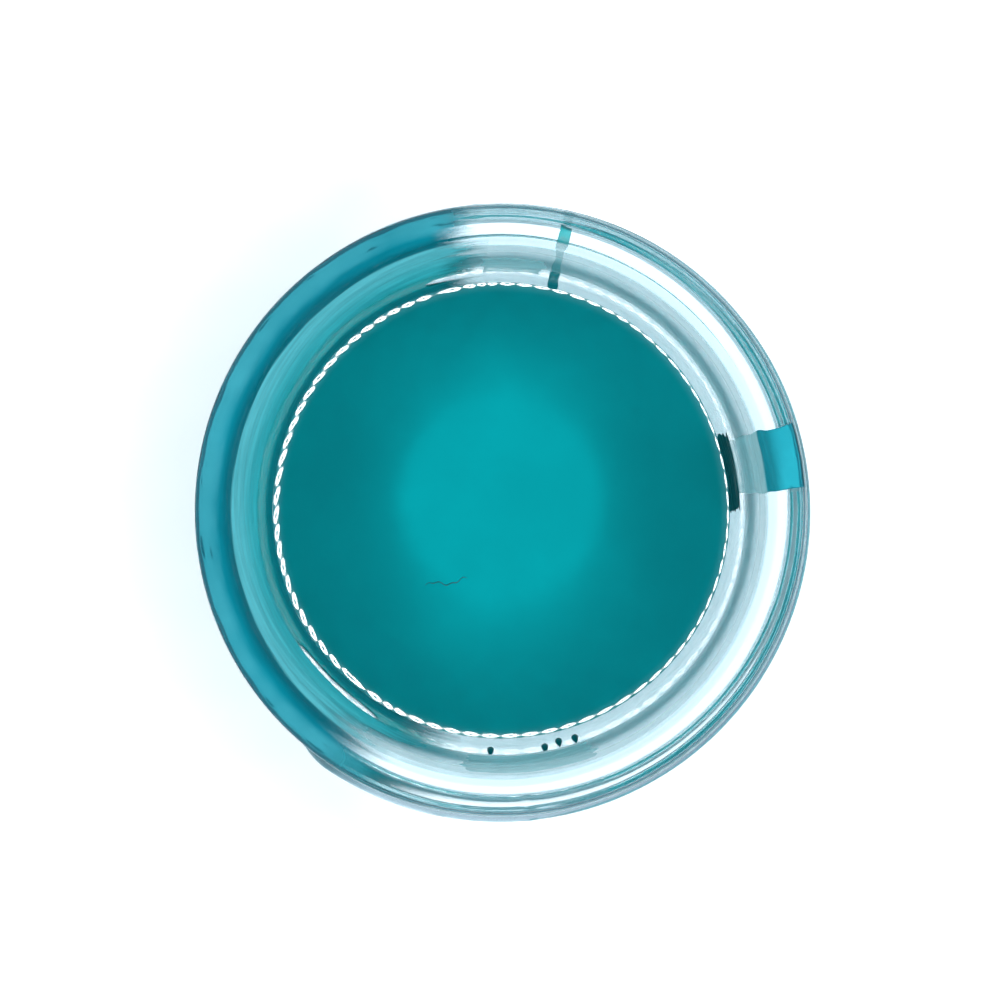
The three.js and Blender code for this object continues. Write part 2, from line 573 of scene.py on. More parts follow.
@dataclass(frozen=True)
class WetPaintFinish:
    """Opaque wet paint: deep teal with a soft mottle, glossy where it is open to the air."""

    name: str = "wet_paint"
    light: Colour = (0.0, 0.335, 0.378)
    dark: Colour = (0.0, 0.305, 0.345)
    gloss: float = 1.0
    roughness: float = 0.015
    mottle_scale: float = 70.0
    dulling: float = 0.02
    ripple_scale: float = 90.0
    ripple_depth: float = 0.002 * MM

    def material(self) -> bpy.types.Material:
        """Builds the material.

        Returns:
            The material.
        """
        material, nodes, shader = new_material(self.name)
        colours = {"Light": rgba(self.light), "Dark": rgba(self.dark)}
        mottle = use_pattern(nodes, Pattern.MOTTLE, Scale=self.mottle_scale, Seed=0.31, **colours)
        ripple = nodes.noise(nodes.place(), self.ripple_scale, 2.0)
        nodes.fill(
            shader,
            Base_Color=mottle.outputs["Color"],
            Specular_IOR_Level=self.gloss,
            Roughness=nodes.math("MULTIPLY_ADD", mottle.outputs["Cloud"], self.dulling, self.roughness),
            Normal=nodes.bump(ripple, self.ripple_depth),
        )
        return material


@dataclass(frozen=True)
class Scrape:
    """A long thin place where the paint was wiped off the glass, level round the wall."""

    turn: float
    height: float
    half_turn: float
    half_height: float


@dataclass(frozen=True)
class DryPaintFinish:
    """Thin dried paint on glass: satin teal, streaky, and see-through where it is thinnest.

    Zones lists heights with the colour and cover that the paint has there. Between two heights both are
    eased. Most bands are paint that dried where the jar was tipped and wiped, but the wall film also has a
    painted sheen and a band of painted shade near the neck. Feather, brush marks and lean are in degrees,
    and they shape the ends of a piece that has scrapes.
    """

    name: str
    zones: tuple[tuple[float, Colour, float], ...]
    facing: float = 1.0
    seed: float = 0.7
    streaks: float = 0.4
    streak_tint: Colour = (0.35, 0.6, 0.62)
    streak_depth: float = 0.05 * MM
    fine_smear: float = 430.0
    coarse_smear: float = 150.0
    zone_wander: float = 2.4 * MM
    roughness: float = 0.4
    gloss: float = 0.12
    full_cover: float = 0.97
    scrapes: tuple[Scrape, ...] = ()
    scrape_ragged: float = 1.6
    scrape_edge: Span = (0.45, 1.1)
    feather: tuple[float, float, float, float] = (0.0, 1.0, 359.0, 360.0)
    brush_marks: float = 26.0
    lean: float = 14.0
    lean_low: float = 0.0
    lean_high: float = 1.0

    def zone_ramp(self, nodes: Nodes, height: Socket, cover: bool) -> Socket:
        """Builds the ramp of colours or covers over the height.

        Args:
            nodes: The material's nodes.
            height: Height in metres, already wandered.
            cover: Whether the ramp gives the cover instead of the colour.

        Returns:
            The ramp's colour output.
        """
        low, high = self.zones[0][0], self.zones[-1][0]
        ramp = nodes.add("ShaderNodeValToRGB", Fac=nodes.ramp(height, low, high, "LINEAR"))
        ramp.color_ramp.interpolation = "EASE"
        stops = ramp.color_ramp.elements
        while len(stops) < len(self.zones):
            stops.new(0.5)
        for stop, (level, colour, share_covered) in zip(stops, self.zones):
            stop.position = (level - low) / (high - low)
            stop.color = rgba((share_covered,) * 3 if cover else colour)
        return ramp.outputs["Color"]

    def from_behind(self, angle: float) -> float:
        """An angle in degrees as radians from the side that the piece faces."""
        return math.radians(angle - (180.0 if self.facing < 0.0 else 0.0))

    def turn_about(self, nodes: Nodes, place: Socket) -> Socket:
        """Builds the turn about Z, from the side that the piece faces.

        Args:
            nodes: The material's nodes.
            place: Object coordinates.

        Returns:
            The turn in radians.
        """
        parts = nodes.add("ShaderNodeSeparateXYZ", Vector=place).outputs
        across = nodes.math("MULTIPLY", parts["X"], self.facing)
        aside = nodes.math("MULTIPLY", parts["Y"], self.facing)
        return nodes.math("ARCTAN2", aside, across)

    def scraped(self, nodes: Nodes, place: Socket, height: Socket, brushing: Socket) -> Socket:
        """Builds the cover that the scrapes and the brushed-out ends leave.

        It is 0 inside the scrapes' ragged ovals and eased to 1 outside. At the ends of the patch it is
        eased over the turn, with brush marks of different lengths, and it ends earlier by the lean
        above the heights that the lean is given for.

        Args:
            nodes: The material's nodes.
            place: Object coordinates.
            height: Height in metres, already wandered.
            brushing: Value of the smear pattern, from 0 to 1.

        Returns:
            The cover.
        """
        turn = self.turn_about(nodes, place)
        stray = nodes.math("SUBTRACT", brushing, 0.5)
        ragged = nodes.math("MULTIPLY", stray, self.scrape_ragged)
        brushed = nodes.math("MULTIPLY", stray, math.radians(self.brush_marks))
        here = nodes.math("ADD", turn, brushed)
        start, full, thinning, end = (self.from_behind(angle) for angle in self.feather)
        cover = nodes.ramp(here, start, full)
        for scrape in self.scrapes:
            aside = nodes.math("SUBTRACT", turn, self.from_behind(scrape.turn))
            sideways = nodes.math("ABSOLUTE", nodes.math("DIVIDE", aside, math.radians(scrape.half_turn)))
            above = nodes.math("SUBTRACT", height, scrape.height)
            upwards = nodes.math("DIVIDE", above, scrape.half_height)
            squared = nodes.math("MULTIPLY", upwards, upwards)
            away = nodes.math("ADD", nodes.math("POWER", sideways, 4.0), squared)
            left = nodes.ramp(nodes.math("ADD", away, ragged), *self.scrape_edge)
            cover = nodes.math("MULTIPLY", cover, left)
        shorter = nodes.ramp(height, self.lean_low, self.lean_high)
        there = nodes.math("ADD", here, nodes.math("MULTIPLY", shorter, math.radians(self.lean)))
        kept = nodes.math("SUBTRACT", 1.0, nodes.ramp(there, thinning, end))
        return nodes.math("MULTIPLY", cover, kept)

    def patchy(self, nodes: Nodes, height: Socket, coarse: Socket) -> Socket:
        """Builds the zones' cover, lifted off in patches where it isn't full.

        Args:
            nodes: The material's nodes.
            height: Height in metres, already wandered.
            coarse: Mask of the coarse smear pattern.

        Returns:
            The cover.
        """
        cover = self.zone_ramp(nodes, height, True)
        worn = nodes.math("MULTIPLY", cover, nodes.math("MULTIPLY_ADD", coarse, 0.5, 0.5))
        return nodes.math("MAXIMUM", worn, nodes.math("GREATER_THAN", cover, self.full_cover))

    def material(self) -> bpy.types.Material:
        """Builds the material.

        Returns:
            The material.
        """
        material, nodes, shader = new_material(self.name)
        smear, coarse = (
            use_pattern(nodes, Pattern.SMEAR, Scale=scale, Seed=seed, Facing=self.facing)
            for scale, seed in ((self.fine_smear, self.seed), (self.coarse_smear, self.seed + 3.0))
        )
        place = nodes.place()
        height = nodes.part(place, "Z")
        lowest = -0.5 * self.zone_wander
        shift = nodes.math("MULTIPLY_ADD", coarse.outputs["Height"], self.zone_wander, lowest)
        wandered = nodes.math("ADD", height, shift)
        veil = nodes.math("MULTIPLY", smear.outputs["Mask"], self.streaks)
        colour = self.zone_ramp(nodes, wandered, False)
        nodes.fill(
            shader,
            Base_Color=nodes.mix(veil, colour, rgba(self.streak_tint), "MULTIPLY"),
            Roughness=self.roughness,
            Specular_IOR_Level=self.gloss,
            Normal=nodes.bump(smear.outputs["Height"], self.streak_depth),
        )
        if self.scrapes:
            nodes.fill(shader, Alpha=self.scraped(nodes, place, wandered, smear.outputs["Height"]))
        elif min(zone[2] for zone in self.zones) < 1.0:
            nodes.fill(shader, Alpha=self.patchy(nodes, wandered, coarse.outputs["Mask"]))
        return material


@dataclass(frozen=True)
class BristleFinish:
    """A brush bristle soaked in paint: dark, slightly shiny, lighter in patches."""

    light: Colour = (0.0, 0.09, 0.11)
    dark: Colour = (0.0, 0.03, 0.04)
    mottle_scale: float = 1500.0
    roughness: float = 0.4

    def material(self) -> bpy.types.Material:
        """Builds the material.

        Returns:
            The material.
        """
        material, nodes, shader = new_material("soaked_bristle")
        colours = {"Light": rgba(self.light), "Dark": rgba(self.dark)}
        mottle = use_pattern(nodes, Pattern.MOTTLE, Scale=self.mottle_scale, Seed=2.2, **colours)
        nodes.fill(shader, Base_Color=mottle.outputs["Color"], Roughness=self.roughness)
        return material


@dataclass(frozen=True)
class TableFinish:
    """A plain pale table: white card with a very faint grain, and a painted bluish shadow left of the jar.

    It glows a little, so that it stays pale away from the lamps. Seen through the glass its glow is painted
    bluer and brighter, with a painted shadow where the jar stands on it.
    """

    white: Colour = (0.93, 0.94, 0.945)
    grain_scale: float = 900.0
    grain_shade: float = 0.985
    # painted shadow: a dimmer bluish glow on the table left of the jar
    painted_cool_shadow: Colour = (0.46, 0.60, 0.66)
    tint_start: float = 48.0 * MM
    tint_end: float = 78.0 * MM
    tint_side: Span = (-35.0 * MM, 10.0 * MM)
    # through the glass: a painted brighter, bluer glow, with a painted shadow under the jar
    through_glass: Colour = (0.84, 1.10, 1.24)
    painted_shadow_under_jar: Colour = (0.06, 0.22, 0.32)
    shade_start: float = 26.0 * MM
    shade_end: float = 33.0 * MM
    glow: float = 0.75
    roughness: float = 0.7
    gloss: float = 0.1

    def material(self) -> bpy.types.Material:
        """Builds the material.

        Returns:
            The material.
        """
        material, nodes, shader = new_material("table_card")
        place = nodes.place()
        grain = nodes.noise(place, self.grain_scale, 3.0)
        faint = tuple(self.grain_shade * channel for channel in self.white)
        seen = nodes.add("ShaderNodeLightPath").outputs["Is Camera Ray"]
        away = nodes.vector_math("LENGTH", place).outputs["Value"]
        # painted shadow: seen through the glass the glow is dark under the jar, and painted brighter and
        # bluer away from it
        lit = nodes.ramp(away, self.shade_start, self.shade_end)
        through = nodes.mix(lit, rgba(self.painted_shadow_under_jar), rgba(self.through_glass))
        # painted shadow: seen from the camera the glow is dimmer and bluish left of the jar
        rightward = nodes.ramp(nodes.part(place, "X"), *self.tint_side)
        outward = nodes.ramp(away, self.tint_start, self.tint_end)
        plain = nodes.math("MAXIMUM", rightward, outward)
        shown = nodes.mix(plain, rgba(self.painted_cool_shadow), rgba(self.white))
        nodes.fill(
            shader,
            Base_Color=nodes.mix(grain, rgba(faint), rgba(self.white)),
            Roughness=self.roughness,
            Specular_IOR_Level=self.gloss,
            Emission_Color=nodes.mix(seen, through, shown),
            Emission_Strength=self.glow,
        )
        return material


# --------------------------------------------------------------------------------------------
# Jar
# --------------------------------------------------------------------------------------------


@dataclass
class GlassJar:
    """The glass: foot, heel, body, shoulder, threaded neck, lip and hollow, in one skin."""

    height: float
    body_radius: float
    neck_radius: float = 30.0 * MM
    neck_height: float = 12.0 * MM
    shoulder_height: float = 5.0 * MM
    heel_radius: float = 4.0 * MM
    stand_ring_width: float = 2.5 * MM
    push_up: float = 1.8 * MM
    lip_outer_round: float = 0.8 * MM
    wall: float = 2.6 * MM
    neck_wall: float = 2.8 * MM
    shoulder_wall: float = 2.6 * MM
    floor: float = 5.0 * MM
    floor_round: float = 6.0 * MM
    floor_dome: float = 1.0 * MM
    lip_inner_round: float = 1.5 * MM
    thread_stand: float = 1.55 * MM
    thread_half_width: float = 1.8 * MM
    thread_lead: float = 3.0 * MM
    thread_top: float = 3.9 * MM
    thread_start: float = 222.0
    thread_turn: float = 346.0
    thread_fade: float = 14.0
    seam_angles: tuple[float, ...] = (95.0, 275.0)
    seam_stand: float = 0.05 * MM
    seam_width: float = 0.45 * MM
    seam_fade: float = 1.2 * MM
    wave: float = 0.09 * MM
    wave_fade: float = 3.0 * MM
    grips: int = 72
    grip_depth: float = 0.18 * MM
    grip_reach: float = 0.42
    grip_limit: float = 1.0 * MM
    outer_step: float = 2.0 * MM
    inner_step: float = 1.8 * MM
    thread_step: float = 0.3 * MM
    neck_margin: float = 3.0 * MM
    wall_joint: float = 30.0 * MM
    turns: int = 432
    finish: GlassFinish = field(default_factory=GlassFinish)

    @property
    def inner_radius(self) -> float:
        """Radius of the hollow in the body."""
        return self.body_radius - self.wall

    @property
    def mouth_radius(self) -> float:
        """Radius of the hollow in the neck."""
        return self.neck_radius - self.neck_wall

    @property
    def shoulder_top(self) -> float:
        """Height where the shoulder meets the neck outside."""
        return self.height - self.neck_height

    @property
    def inner_shoulder_top(self) -> float:
        """Height where the hollow reaches the mouth's radius."""
        return self.shoulder_top - self.shoulder_wall

    @property
    def lip_round_start(self) -> float:
        """Height where the lip's inner round starts."""
        return self.height - self.lip_inner_round

    def floor_section(self, radius: float, level: float) -> np.ndarray:
        """Half section of a jar floor: a low dome, then the round corner up to the wall.

        Args:
            radius: Radius of the wall above it.
            level: Height of the floor at the corner.

        Returns:
            Rows of (radius, height), from near Z outwards.
        """
        flat = radius - self.floor_round
        across = np.linspace(0.04, 1.0, 8)[:-1]
        dome = np.column_stack((flat * across, level + self.floor_dome * (1.0 - across**2)))
        return np.vstack((dome, arc((flat, level + self.floor_round), self.floor_round, -90.0, 0.0)))

    def wall_section(self, start: float) -> np.ndarray:
        """Half section of the inner wall from a height up over the lip's inner round, to its flat top.

        Args:
            start: Height where it starts, below the shoulder.

        Returns:
            Rows of (radius, height), going up.
        """
        top = self.inner_shoulder_top
        lip = (self.mouth_radius + self.lip_inner_round, self.lip_round_start)
        return np.vstack(
            (
                [[self.inner_radius, start]],
                ease((self.inner_radius, top - self.shoulder_height), (self.mouth_radius, top)),
                arc(lip, self.lip_inner_round, 180.0, 90.0),
            )
        )

    def lip_section(self, start: float) -> np.ndarray:
        """Half section of the inner wall from a height up, over the lip and a little down outside.

        Args:
            start: Height where it starts, below the shoulder.

        Returns:
            Rows of (radius, height).
        """
        outer = (self.neck_radius - self.lip_outer_round, self.height - self.lip_outer_round)
        return np.vstack((self.wall_section(start), arc(outer, self.lip_outer_round, 90.0, 15.0)))

    def outer_section(self) -> np.ndarray:
        """Half section of the outside, from under the foot up to the lip's flat top.

        Returns:
            Rows of (radius, height), going out and up.
        """
        heel = self.body_radius - self.heel_radius
        stand = heel - self.stand_ring_width
        across = np.linspace(0.04, 1.0, 10)
        foot = np.column_stack((stand * across, self.push_up * (1.0 - across**2)))
        lip = (self.neck_radius - self.lip_outer_round, self.height - self.lip_outer_round)
        low = self.shoulder_top - self.shoulder_height
        return np.vstack(
            (
                foot,
                np.column_stack((np.linspace(stand, heel, 6)[1:-1], np.zeros(4))),
                arc((heel, self.heel_radius), self.heel_radius, -90.0, 0.0),
                ease((self.body_radius, low), (self.neck_radius, self.shoulder_top)),
                arc(lip, self.lip_outer_round, 0.0, 90.0),
            )
        )

    def thread_rise(self, turn: np.ndarray, height: np.ndarray) -> np.ndarray:
        """How far the thread stands off the neck.

        It runs anticlockwise from its start, seen from above, and its middle drops by one lead a turn.
        Across it the rise is a squared cosine, and it eases in and out at its ends.

        Args:
            turn: Turns about Z in radians.
            height: Heights.

        Returns:
            The rise in metres, 0 away from the thread.
        """
        past_start = (np.degrees(turn) - self.thread_start) % 360.0
        inside = np.clip(np.minimum(past_start, self.thread_turn - past_start), 0.0, None)
        fade = smooth_step(inside, 0.0, self.thread_fade)
        middle = self.height - self.thread_top - self.thread_lead * past_start / 360.0
        across = (height - middle) / self.thread_half_width
        hump = np.cos(0.5 * np.pi * np.clip(across, -1.0, 1.0)) ** 2
        return self.thread_stand * fade * hump

    def seam_rise(self, turn: np.ndarray, height: np.ndarray) -> np.ndarray:
        """How far the two mould seams stand off the outside: a bell curve across each seam.

        Args:
            turn: Turns about Z in radians.
            height: Heights.

        Returns:
            The rise in metres, 0 at the heel and the lip.
        """
        rise = np.zeros(np.broadcast(turn, height).shape)
        for seam in self.seam_angles:
            off = (turn - math.radians(seam) + np.pi) % (2.0 * np.pi) - np.pi
            rise = rise + self.seam_stand * np.exp(-((off * self.body_radius / self.seam_width) ** 2))
        low = smooth_step(height, 0.6 * self.heel_radius, 1.4 * self.heel_radius)
        lip_start = self.height - self.lip_outer_round
        high = 1.0 - smooth_step(height, lip_start - self.seam_fade, lip_start)
        return rise * low * high

    def inner_wave(self, turn: np.ndarray, height: np.ndarray) -> np.ndarray:
        """How far the inner wall strays from round: long waves round it and up it.

        Args:
            turn: Turns about Z in radians.
            height: Heights.

        Returns:
            The distance outwards in metres.
        """
        tall = 2.0 * np.pi * height / self.height
        slow = wander(turn + 0.35 * np.sin(1.3 * tall), 1.7, (2, 3, 5))
        quick = wander(turn, 4.1, (7, 11)) * np.sin(2.1 * tall + 0.6)
        return self.wave * (slow + 0.12 * quick)

    def wall_radius(self, turn: np.ndarray, radius: np.ndarray, height: np.ndarray) -> np.ndarray:
        """Radius of the real inner wall, from its even radius: the waves fade out at the lip and floor.

        Args:
            turn: Turns about Z in radians.
            radius: The even radius.
            height: Heights.

        Returns:
            The wavy radius.
        """
        low = smooth_step(height, self.floor, self.floor + self.floor_round)
        high = 1.0 - smooth_step(height, self.lip_round_start - self.wave_fade, self.lip_round_start)
        return radius + low * high * self.inner_wave(turn, height)

    def build(self) -> bpy.types.Object:
        """Builds the glass as one closed grid of rings.

        The rings run up the outside section and down the inside one, closest together at the thread.
        Outside, the thread and the seams are added to the radius and the stand ring's grips to the
        height. Inside, the waves are added to the radius.

        Returns:
            The glass piece.
        """
        outer = resample(self.outer_section(), self.outer_step)
        threaded = outer[:, 1] > self.shoulder_top - self.neck_margin
        outer = np.vstack((outer[~threaded], resample(outer[threaded], self.thread_step)))
        floor = self.floor_section(self.inner_radius, self.floor)
        hollow = np.vstack((floor, self.wall_section(self.wall_joint)))
        inner = resample(hollow, self.inner_step)[::-1]
        turn = full_turn(self.turns)
        radius, height = outer[:, :1], outer[:, 1:]
        upright = smooth_step(height, self.heel_radius, 1.5 * self.heel_radius)
        outer_radius = radius + self.thread_rise(turn, height) * upright + self.seam_rise(turn, height)
        ring_middle = self.body_radius - self.heel_radius - 0.5 * self.stand_ring_width
        from_middle = (radius - ring_middle) / (self.grip_reach * self.stand_ring_width)
        on_ring = np.exp(-(from_middle**2)) * (height < self.grip_limit)
        grips = self.grip_depth * on_ring * 0.5 * (1.0 - np.cos(self.grips * turn))
        outside = polar(outer_radius, turn, height + grips)
        inside = polar(self.wall_radius(turn, inner[:, :1], inner[:, 1:]), turn, inner[:, 1:])
        rings = np.concatenate((outside, inside))
        piece = turned_shell("clear_jar", rings, on_axis(self.push_up, self.floor + self.floor_dome))
        return dress(piece, "glass_jar", "clear_glass", self.finish)


# --------------------------------------------------------------------------------------------
# Paint
# --------------------------------------------------------------------------------------------


@dataclass
class PaintFill:
    """The liquid paint, which touches the glass and climbs it at the edge."""

    jar: GlassJar
    level: float
    reach: float = 2.0 * MM
    clean_rise: float = 1.05 * MM
    wetted_rise: float = 1.15 * MM
    wetted: Span = (100.0, 235.0)
    wetted_ease: float = 8.0
    edge_wander: float = 0.012
    bite: float = 0.03 * MM
    turns: int = 576
    finish: WetPaintFinish = field(default_factory=WetPaintFinish)
    on_glass: WetPaintFinish = WetPaintFinish(
        "paint_on_glass", light=(0.0, 0.46, 0.5), dark=(0.0, 0.37, 0.41), gloss=0.04, roughness=0.5
    )

    def edge_rise(self, turn: np.ndarray) -> np.ndarray:
        """How far the paint climbs the wall: more where dried paint already wets the glass.

        Args:
            turn: Turns about Z in radians.

        Returns:
            The rise in metres.
        """
        degrees = np.degrees(turn) % 360.0
        start, end = self.wetted
        ease_in = smooth_step(degrees, start - self.wetted_ease, start + self.wetted_ease)
        ease_out = 1.0 - smooth_step(degrees, end - self.wetted_ease, end + self.wetted_ease)
        rise = self.clean_rise + (self.wetted_rise - self.clean_rise) * ease_in * ease_out
        return rise * (1.0 + self.edge_wander * wander(turn, 2.6, (3, 7, 11)))

    def build(self) -> bpy.types.Object:
        """Builds the paint as one closed grid of rings.

        The skin follows the floor and the wall, pressed a hair into the glass so that no air shows
        between them, and has a duller finish there. The surface is level plus rise * exp(-distance
        from the wall / reach).

        Returns:
            The paint piece.
        """
        jar = self.jar
        turn = full_turn(self.turns)
        bed = resample(jar.floor_section(jar.inner_radius, jar.floor), 1.2 * MM)
        edge = self.level + self.edge_rise(turn)
        share = np.linspace(0.0, 1.0, 24)[1:, None]
        corner = jar.floor + jar.floor_round
        wall_height = corner + (edge - corner) * share
        floor_rings = polar(jar.wall_radius(turn, bed[:, :1], bed[:, 1:]), turn, bed[:, 1:] - self.bite)
        wall_radius = jar.wall_radius(turn, np.full_like(wall_height, jar.inner_radius), wall_height)
        wall_rings = polar(wall_radius + self.bite, turn, wall_height)
        inward = jar.inner_radius * np.linspace(0.0, 0.985, 90)[1:, None] ** 1.8
        surface_radius = wall_radius[-1:] - inward * wall_radius[-1:] / jar.inner_radius
        surface_height = self.level + self.edge_rise(turn) * np.exp(-inward / self.reach)
        surface_rings = polar(surface_radius, turn, surface_height)
        rings = np.concatenate((floor_rings, wall_rings, surface_rings))
        poles = on_axis(jar.floor + jar.floor_dome - self.bite, self.level)
        piece = turned_shell("teal_paint", rings, poles)
        dress(piece, "paint_fill", "wet_paint", self.finish, self.on_glass)
        touching = (len(floor_rings) + len(wall_rings) - 1) * self.turns
        last_fan = len(piece.data.polygons) - self.turns
        faces = np.arange(len(piece.data.polygons))
        sides = (faces < touching) | ((faces >= last_fan - self.turns) & (faces < last_fan))
        piece.data.polygons.foreach_set("material_index", sides.astype(int))
        return piece


@dataclass
class WallPatch:
    """A patch of dried paint on the inner wall, with wandering edges and a thin rim."""

    jar: GlassJar
    name: str
    node: str
    start: float
    end: float
    low: float
    high: float
    finish: DryPaintFinish
    thickness: float = 0.22 * MM
    ragged: float = 2.0
    over_lip: bool = False
    backing: DryPaintFinish | None = None
    foot_wander: float = 0.035
    top_wander: float = 0.02
    seed: float = 0.0
    columns: int = 160
    rows: int = 90
    bite: float = 0.03 * MM
    slope_step: float = 0.002
    foot_drop: float = 0.6 * MM

    def build(self) -> bpy.types.Object:
        """Builds the patch as two grids that meet at the edge.

        Across is the share from the start to the end angle and up is the share of the wall section
        from low to high. The side edges wander with the height and the top and bottom edges with the
        turn. The thickness is full * (1 - (2 across - 1)^8) * (1 - (2 up - 1)^8), with a slow swell, and
        is laid off square to the section. It thins out over the lip.

        Returns:
            The patch piece.
        """
        across, up = np.meshgrid(np.linspace(0.0, 1.0, self.columns), np.linspace(0.0, 1.0, self.rows))
        left = self.start + self.ragged * wander(up * 6.0, self.seed, (1, 2, 5))
        right = self.end + self.ragged * wander(up * 6.0, self.seed + 2.0, (1, 3, 4))
        turn = np.radians(left + (right - left) * across)
        span = self.high - self.low
        bottom = self.low + self.foot_wander * span * wander(turn * 6.0, self.seed + 1.0, (2, 5, 9))
        top = self.high - self.top_wander * span * (1.0 + wander(turn * 8.0, self.seed + 3.0, (1, 4, 7)))
        share = np.clip(bottom + (top - bottom) * up, 0.0, 0.999)
        section = self.jar.lip_section(self.foot) if self.over_lip else self.jar.wall_section(self.foot)
        radius, height = along(section, share)
        ahead = along(section, np.clip(share + self.slope_step, 0.0, 1.0))
        behind = along(section, np.clip(share - self.slope_step, 0.0, 1.0))
        run, climb = ahead[0] - behind[0], ahead[1] - behind[1]
        length = np.hypot(run, climb)
        wall = self.jar.wall_radius(turn, radius, height)
        rim = (1.0 - (2.0 * across - 1.0) ** 8) * (1.0 - (2.0 * up - 1.0) ** 8)
        swell = 0.7 + 0.3 * wander(turn * 5.0 + height * 900.0, self.seed, (2, 5, 11))
        thin = 1.0 - 0.8 * smooth_step(height, self.jar.lip_round_start, self.jar.height)
        stand = self.thickness * rim * swell * thin
        open_side = polar(wall - stand * climb / length, turn, height + stand * run / length)
        sunk = self.bite * rim
        glass_side = polar(wall + sunk * climb / length, turn, height - sunk * run / length)
        piece = pillow(self.name, open_side[:, ::-1], glass_side[:, ::-1])
        finishes = (self.finish, self.backing) if self.backing else (self.finish,)
        dress(piece, self.node, "dry_paint", *finishes)
        if self.backing:
            count = len(piece.data.polygons)
            piece.data.polygons.foreach_set("material_index", (np.arange(count) >= count // 2).astype(int))
        return piece

    @property
    def foot(self) -> float:
        """Height where the shares of the bare wall start."""
        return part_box("wall_film")[0].z - self.foot_drop


@dataclass
class WallDrop:
    """A drop that dried as it ran: round at its foot and drawn out to a thin tail above."""

    jar: GlassJar
    node: str
    finish: DryPaintFinish
    width: float = 0.6 * MM
    stand: float = 0.5 * MM
    bite: float = 0.02 * MM

    def build(self) -> bpy.types.Object:
        """Builds the drop as a closed grid of rings about its own upright axis.

        Up the drop, its width is sin(pi t) ^ 0.6 * (1 - 0.75 t), so its widest place is near the foot.

        Returns:
            The drop piece.
        """
        low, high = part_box(self.node)
        middle_turn = math.atan2(0.5 * (low.y + high.y), 0.5 * (low.x + high.x))
        share = np.linspace(0.03, 0.97, 22)[:, None]
        round_turn = full_turn(28)
        size = np.sin(np.pi * share) ** 0.6 * (1.0 - 0.75 * share)
        height = low.z + (high.z - low.z) * share
        wall = self.jar.wall_radius(middle_turn, np.full_like(height, self.jar.inner_radius), height)
        sideways = self.width * size * np.sin(round_turn)
        inwards = self.stand * size * (np.cos(round_turn) + 0.9)
        radius = wall + self.bite - np.clip(inwards, 0.0, None)
        turn = middle_turn + sideways / self.jar.inner_radius
        rings = polar(radius, turn, height)
        name = self.node.replace("front", "dried")
        piece = turned_shell(name, rings, rings[[0, -1]].mean(axis=1), turned_over=True)
        return dress(piece, self.node, "dry_paint", self.finish)


@dataclass
class LooseBristle:
    """A stray brush bristle that floats on the paint."""

    level: float
    start: Span = (-9.6 * MM, -9.5 * MM)
    end: Span = (-4.2 * MM, -8.7 * MM)
    thickness: float = 0.07 * MM
    finish: BristleFinish = field(default_factory=BristleFinish)

    def build(self) -> bpy.types.Object:
        """Builds the bristle: a round section carried along a wavy line, tapered to both ends.

        Returns:
            The bristle piece.
        """
        share = np.linspace(0.0, 1.0, 48)[:, None]
        turn = full_turn(8)
        way = np.array(self.end) - np.array(self.start)
        line = np.array(self.start) + way * share
        way = way / np.linalg.norm(way)
        side = np.array([-way[1], way[0]])
        bend = (0.28 * np.sin(2.6 * np.pi * share) + 0.12 * np.sin(7.3 * np.pi * share)) * MM
        middle = line + bend * side
        size = self.thickness * np.clip(np.sin(np.pi * share) ** 0.4, 0.12, 1.0)
        points = np.stack(
            (
                middle[:, :1] + side[0] * size * np.cos(turn),
                middle[:, 1:] + side[1] * size * np.cos(turn),
                self.level + size * (0.5 + np.sin(turn)),
            ),
            axis=-1,
        )
        piece = turned_shell("stray_bristle", points, points[[0, -1]].mean(axis=1), turned_over=True)
        piece.data.materials.append(self.finish.material())
        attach(piece, BODY)
        return piece


# --------------------------------------------------------------------------------------------
# Studio
# --------------------------------------------------------------------------------------------


